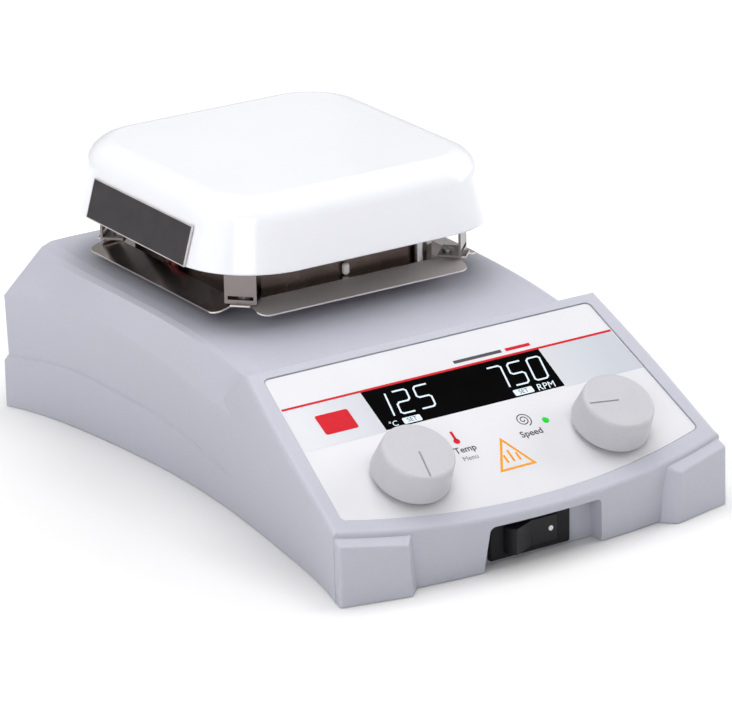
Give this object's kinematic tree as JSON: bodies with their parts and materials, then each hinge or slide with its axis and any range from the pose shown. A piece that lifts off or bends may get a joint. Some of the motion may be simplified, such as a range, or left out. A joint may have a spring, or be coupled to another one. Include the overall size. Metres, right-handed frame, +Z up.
{
  "type": "hotplate magnetic stirrer",
  "caption": "Bench hotplate stirrer: square glazed heated top on a metal tray, waisted grey housing, sloping control panel with display, two knobs and a rocker switch.",
  "frame": {"origin": "on the ground, at the middle of the overall footprint", "axes": "+Z up, front and controls towards -Y, +X to the user's right"},
  "size_m": [0.2244, 0.3334, 0.149],
  "materials": {
    "housing": "fine texture",
    "overlay": "printed film",
    "led": "clear green",
    "display": "gloss",
    "black_plastic": "matte",
    "rocker_black": "satin",
    "glaze": "gloss",
    "dark_metal": "brushed dark",
    "cast_alloy": "cast",
    "fibre": "rough",
    "steel": "satin",
    "bright_steel": "bright",
    "ceramic": "gloss",
    "red_sleeve": "matte",
    "rubber": "matte",
    "zinc": "plated",
    "zinc_sheet": "plated sheet",
    "board": "satin",
    "brass": "plain",
    "motor_paint": "satin",
    "magnet": "nickel plated",
    "core": "varnished",
    "capacitor": "sleeve",
    "knob": "fine texture"
  },
  "bodies": {
    "chassis": {"upper_housing": "housing", "base_plate": "zinc_sheet", "rubber_feet": "rubber", "housing_screws": "zinc", "rod_socket": "steel", "control_overlay": "overlay", "led_lens": "led", "display_window": "display", "display_module": "black_plastic", "control_board": "board", "board_standoffs": "brass", "board_screws": "zinc", "rocker_frame": "black_plastic", "rocker_terminals": "brass", "top_plate": "glaze", "side_plate": "dark_metal", "heater_element": "cast_alloy", "insulation_board": "fibre", "temperature_probe": "steel", "heater_carrier": "steel", "heat_shield": "bright_steel", "ceramic_beads": "ceramic", "sleeved_leads": "red_sleeve", "lead_grommets": "rubber", "drip_tray": "bright_steel", "corner_brackets": "bright_steel", "bracket_screws": "zinc", "carrier_posts": "steel", "motor_bracket": "zinc_sheet", "motor_screws": "zinc", "stir_motor": "motor_paint", "power_board": "board", "power_standoffs": "black_plastic", "power_screws": "zinc", "transformer": "core", "capacitors": "capacitor", "heat_sink": "cast_alloy", "power_inlet": "black_plastic", "inlet_pins": "brass", "inlet_screws": "zinc", "temp_encoder": "steel", "speed_encoder": "steel"},
    "stir_drive": {"motor_shaft": "steel", "magnet_carrier": "cast_alloy", "drive_magnets": "magnet"},
    "temp_rotor": {"temp_encoder_rotor": "black_plastic"},
    "temp_dial": {"temp_shaft": "steel", "temp_knob": "knob"},
    "speed_rotor": {"speed_encoder_rotor": "black_plastic"},
    "speed_dial": {"speed_shaft": "steel", "speed_knob": "knob"},
    "switch_rocker": {"rocker": "rocker_black"},
    "drawer": {"fuse_drawer": "black_plastic"}
  },
  "joints": [
    {"name": "stir_spin", "type": "hinge", "parent": "chassis", "child": "stir_drive", "pos_m": [0, 0.0655, 0.1], "axis": [0, 0, 1], "continuous": true},
    {"name": "temp_turn", "type": "hinge", "parent": "chassis", "child": "temp_rotor", "pos_m": [-0.0568, -0.13396, 0.04539], "axis": [0, -0.4787, 0.878], "continuous": true},
    {"name": "temp_push", "type": "slide", "parent": "temp_rotor", "child": "temp_dial", "axis": [0, 0.4787, -0.878], "range_m": [0, 0.0008], "stiffness_N_per_m": 1500, "springref_m": -0.001},
    {"name": "speed_turn", "type": "hinge", "parent": "chassis", "child": "speed_rotor", "pos_m": [0.0592, -0.13396, 0.04539], "axis": [0, -0.4787, 0.878], "continuous": true},
    {"name": "speed_push", "type": "slide", "parent": "speed_rotor", "child": "speed_dial", "axis": [0, 0.4787, -0.878], "range_m": [0, 0.0008], "stiffness_N_per_m": 1500, "springref_m": -0.001},
    {"name": "rocker_tilt", "type": "hinge", "parent": "chassis", "child": "switch_rocker", "pos_m": [-0.0035, -0.1534, 0.0116], "axis": [0, 0, 1], "range_deg": [-25, 0]},
    {"name": "drawer_pull", "type": "slide", "parent": "chassis", "child": "drawer", "axis": [0, 1, 0], "range_m": [0, 0.012]}
  ]
}
